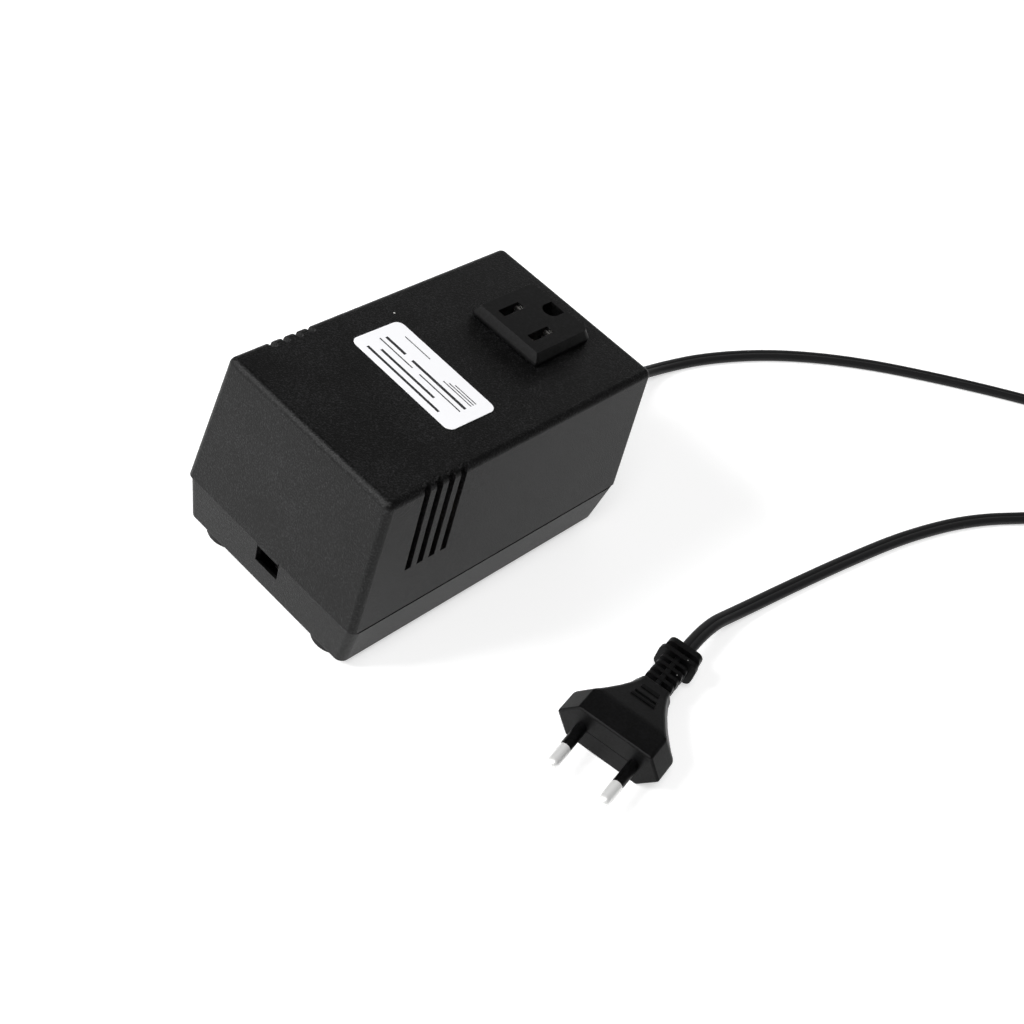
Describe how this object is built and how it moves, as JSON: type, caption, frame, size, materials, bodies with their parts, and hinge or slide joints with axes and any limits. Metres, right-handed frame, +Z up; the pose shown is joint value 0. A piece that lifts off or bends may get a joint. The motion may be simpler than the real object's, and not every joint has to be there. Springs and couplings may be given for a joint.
{
  "type": "autotransformer",
  "caption": "Desk-top step-down autotransformer: black vented case with a raised two-blade and ground outlet, blank label and a flat lead with a two-pin plug.",
  "frame": {"origin": "middle of the case, on the surface its feet stand on", "axes": "+X along the case to the end where the lead leaves, +Y across it away from the side with the plug, +Z up"},
  "size_m": [0.3793, 0.2149, 0.0724],
  "materials": {
    "case_black": "spark-eroded satin black",
    "outlet_black": "smooth black",
    "label_white": "matt printed film, left blank",
    "rubber_black": "matt",
    "screw_steel": "zinc plated",
    "contact_brass": "rolled strip",
    "core_steel": "stacked varnished laminations",
    "bobbin_nylon": "moulded nylon",
    "copper_enamel": "enamelled copper wire",
    "tape_yellow": "polyester tape",
    "fuse_white": "coated",
    "wire_brown": "pvc",
    "wire_blue": "pvc",
    "wire_black": "pvc",
    "wire_white": "pvc",
    "cord_pvc": "soft black pvc",
    "plug_pvc": "moulded black pvc",
    "pin_nickel": "nickel plated"
  },
  "bodies": {
    "root": {"top_cover": "case_black", "base_tray": "case_black", "outlet_body": "outlet_black", "outlet_back_cap": "outlet_black", "rating_label": "label_white", "rubber_feet": "rubber_black", "clamp_pad": "rubber_black", "housing_screws": "screw_steel", "clamp_screws": "screw_steel", "core_bolts": "screw_steel", "core_nuts": "screw_steel", "line_contact": "contact_brass", "neutral_contact": "contact_brass", "ground_contact": "contact_brass", "solder_tags": "contact_brass", "core_e_stack": "core_steel", "core_i_stack": "core_steel", "bobbin": "bobbin_nylon", "common_winding": "copper_enamel", "series_winding": "copper_enamel", "winding_tape": "tape_yellow", "thermal_fuse": "fuse_white", "input_live_wire": "wire_brown", "input_neutral_wire": "wire_blue", "output_live_wire": "wire_black", "output_neutral_wire": "wire_white", "mains_cord_exit": "cord_pvc", "mains_cord_coil": "cord_pvc", "mains_cord_plug_end": "cord_pvc", "cord_inner_end": "cord_pvc", "cord_grommet": "cord_pvc", "cord_clamp": "cord_pvc", "plug_body": "plug_pvc", "pin_sleeves": "plug_pvc", "plug_pins": "pin_nickel"}
  },
  "joints": []
}
